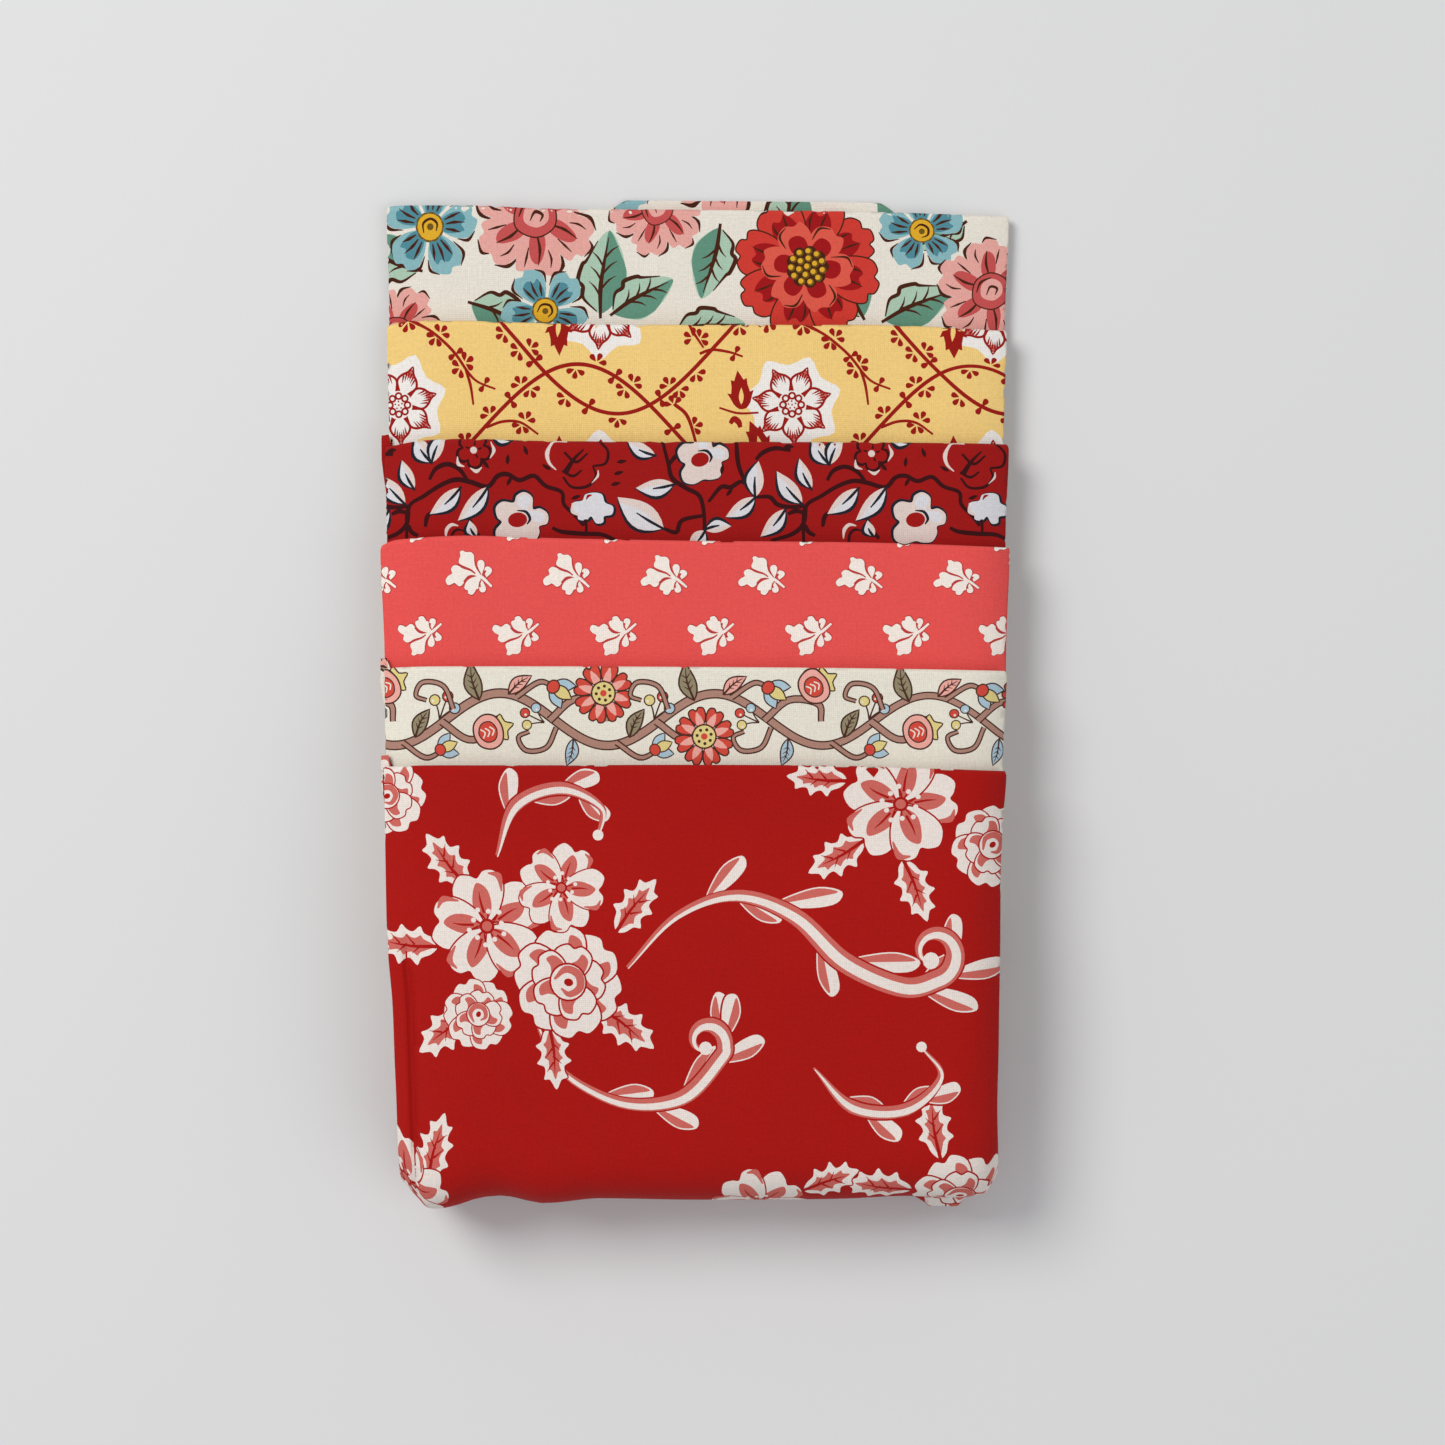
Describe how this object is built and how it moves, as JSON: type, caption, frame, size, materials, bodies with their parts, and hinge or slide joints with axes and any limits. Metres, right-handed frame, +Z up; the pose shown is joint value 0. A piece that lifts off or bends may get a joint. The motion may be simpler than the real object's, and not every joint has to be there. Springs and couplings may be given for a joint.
{
  "type": "fat quarter bundle",
  "caption": "Bundle of printed quilting cotton fat quarters, each folded flat, stacked in a cascade and turned under together at one end.",
  "frame": {"origin": "centre of the bundle's footprint, on the surface that it lies on", "axes": "+X across the bundle to the right, +Y up the cascade towards the lowest piece's edge, +Z up"},
  "size_m": [0.1272, 0.2048, 0.0272],
  "materials": {
    "cream_floral_cotton": "plain-weave printed cotton, matt",
    "yellow_vine_cotton": "plain-weave printed cotton, matt",
    "dark_red_leaf_cotton": "plain-weave printed cotton, matt",
    "coral_sprig_cotton": "plain-weave printed cotton, matt",
    "ivory_folk_cotton": "plain-weave printed cotton, matt",
    "red_rose_cotton": "plain-weave printed cotton, matt"
  },
  "bodies": {
    "root": {"cream_floral_quarter": "cream_floral_cotton", "yellow_vine_quarter": "yellow_vine_cotton", "dark_red_leaf_quarter": "dark_red_leaf_cotton", "coral_sprig_quarter": "coral_sprig_cotton", "ivory_folk_quarter": "ivory_folk_cotton", "red_rose_quarter": "red_rose_cotton"}
  },
  "joints": []
}
